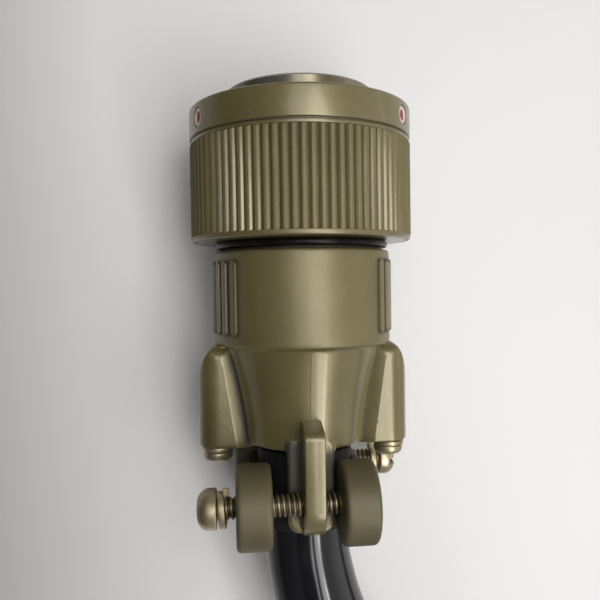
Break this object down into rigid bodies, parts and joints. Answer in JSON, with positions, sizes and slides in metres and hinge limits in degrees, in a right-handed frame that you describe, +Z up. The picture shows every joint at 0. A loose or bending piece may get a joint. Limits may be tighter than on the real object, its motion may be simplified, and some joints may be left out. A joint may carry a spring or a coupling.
{
  "type": "circular connector plug",
  "caption": "Circular bayonet plug with a knurled coupling nut, cast endbell and two-saddle cable clamp on a short black cable; joins power and signal cores to a receptacle.",
  "frame": {"origin": "centre of the mating barrel's rim, on the connector's axis", "axes": "+Y along the axis out of the mating end, +Z up from the table that the plug lies on, +X to the right"},
  "size_m": [0.1496, 0.1531, 0.037],
  "materials": {
    "olive_paint": "satin olive-drab finish",
    "shell_finish": "gloss dark olive finish",
    "screw_steel": "passivated",
    "pin_steel": "ground, red mark in the end",
    "spring_steel": "satin",
    "contact_plating": "gold plated",
    "insert_rubber": "moulded",
    "black_rubber": "matt",
    "nylon": "matt",
    "cable_sheath": "semi-gloss extruded",
    "wire_insulation": "smooth",
    "tinned_copper": "tinned strands"
  },
  "bodies": {
    "shell": {"plug_shell": "shell_finish", "retaining_ring": "shell_finish", "front_insert": "insert_rubber", "rear_grommet": "black_rubber", "grommet_ferrule": "nylon", "face_seal": "black_rubber", "endbell_gasket": "black_rubber", "wave_spring": "spring_steel", "endbell": "olive_paint", "boss_screw_left": "screw_steel", "boss_screw_right": "screw_steel", "boss_washer_left": "screw_steel", "boss_washer_right": "screw_steel", "cable_bushing": "black_rubber", "cable_jacket": "cable_sheath", "free_leads": "wire_insulation", "lead_tips": "tinned_copper", "socket_contact_a": "contact_plating", "socket_contact_b": "contact_plating", "socket_contact_c": "contact_plating", "socket_contact_d": "contact_plating", "socket_contact_e": "contact_plating", "socket_contact_f": "contact_plating", "socket_contact_g": "contact_plating", "core_wire_a": "wire_insulation", "core_wire_b": "wire_insulation", "core_wire_c": "wire_insulation", "core_wire_d": "wire_insulation", "core_wire_e": "wire_insulation", "core_wire_f": "wire_insulation", "core_wire_g": "wire_insulation"},
    "thrust_plate": {"thrust_washer": "spring_steel"},
    "nut": {"coupling_nut": "olive_paint", "bayonet_pin_1": "pin_steel", "bayonet_pin_2": "pin_steel", "bayonet_pin_3": "pin_steel"},
    "saddle_left": {"clamp_saddle_left": "olive_paint"},
    "saddle_right": {"clamp_saddle_right": "olive_paint"},
    "screw_front": {"clamp_screw_front": "screw_steel", "clamp_washer_front": "screw_steel"},
    "screw_rear": {"clamp_screw_rear": "screw_steel", "clamp_washer_rear": "screw_steel"}
  },
  "joints": [
    {"name": "nut_slide", "type": "slide", "parent": "shell", "child": "thrust_plate", "axis": [0, 1, 0], "range_m": [0, 0.0012], "stiffness_N_per_m": 4000, "springref_m": -0.0005, "deforming": ["wave_spring"]},
    {"name": "nut_turn", "type": "hinge", "parent": "thrust_plate", "child": "nut", "pos_m": [0, -0.0238, 0], "axis": [0, 1, 0], "continuous": true},
    {"name": "saddle_left_slide", "type": "slide", "parent": "shell", "child": "saddle_left", "axis": [-1, 0, 0], "range_m": [0, 0.00238]},
    {"name": "saddle_right_slide", "type": "slide", "parent": "shell", "child": "saddle_right", "axis": [1, 0, 0], "range_m": [0, 0.0024]},
    {"name": "screw_front_turn", "type": "hinge", "parent": "saddle_left", "child": "screw_front", "pos_m": [-0.0142, -0.0657, 0.012], "axis": [-1, 0, 0], "range_deg": [0, 2160]},
    {"name": "screw_rear_turn", "type": "hinge", "parent": "saddle_right", "child": "screw_rear", "pos_m": [0.0128, -0.0657, -0.012], "axis": [1, 0, 0], "range_deg": [0, 2160]}
  ],
  "couplings": [
    {"joint": "saddle_right_slide", "follows": "saddle_left_slide", "ratio": 1},
    {"joint": "screw_front_turn", "follows": "saddle_left_slide", "rad_per_m": 15832},
    {"joint": "screw_rear_turn", "follows": "saddle_left_slide", "rad_per_m": 15832}
  ]
}
